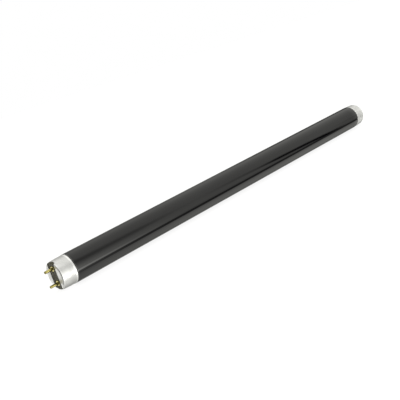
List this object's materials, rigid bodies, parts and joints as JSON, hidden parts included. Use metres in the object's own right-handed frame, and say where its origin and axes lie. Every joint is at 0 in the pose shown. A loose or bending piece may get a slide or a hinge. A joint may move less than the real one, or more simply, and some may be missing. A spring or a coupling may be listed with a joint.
{
  "type": "uv fluorescent tube",
  "caption": "Straight dark-glass ultraviolet fluorescent lamp tube with a two-pin aluminium cap cemented to each end.",
  "frame": {"origin": "middle of the lamp, on the tube's axis", "axes": "+X along the tube towards the right-hand cap, +Z along the line of each cap's pins, towards the upper pin"},
  "size_m": [0.4516, 0.026, 0.026],
  "materials": {
    "dark_glass": "gloss",
    "cap_aluminium": "satin",
    "insulator": "matte",
    "pin_brass": "satin",
    "cement": "matte",
    "lead_wire": "satin"
  },
  "bodies": {
    "root": {"glass_tube": "dark_glass", "left_end_cap": "cap_aluminium", "right_end_cap": "cap_aluminium", "left_insulator": "insulator", "right_insulator": "insulator", "left_upper_pin": "pin_brass", "left_lower_pin": "pin_brass", "right_upper_pin": "pin_brass", "right_lower_pin": "pin_brass", "left_cement": "cement", "right_cement": "cement", "left_upper_lead_wire": "lead_wire", "left_lower_lead_wire": "lead_wire", "right_upper_lead_wire": "lead_wire", "right_lower_lead_wire": "lead_wire"}
  },
  "joints": []
}
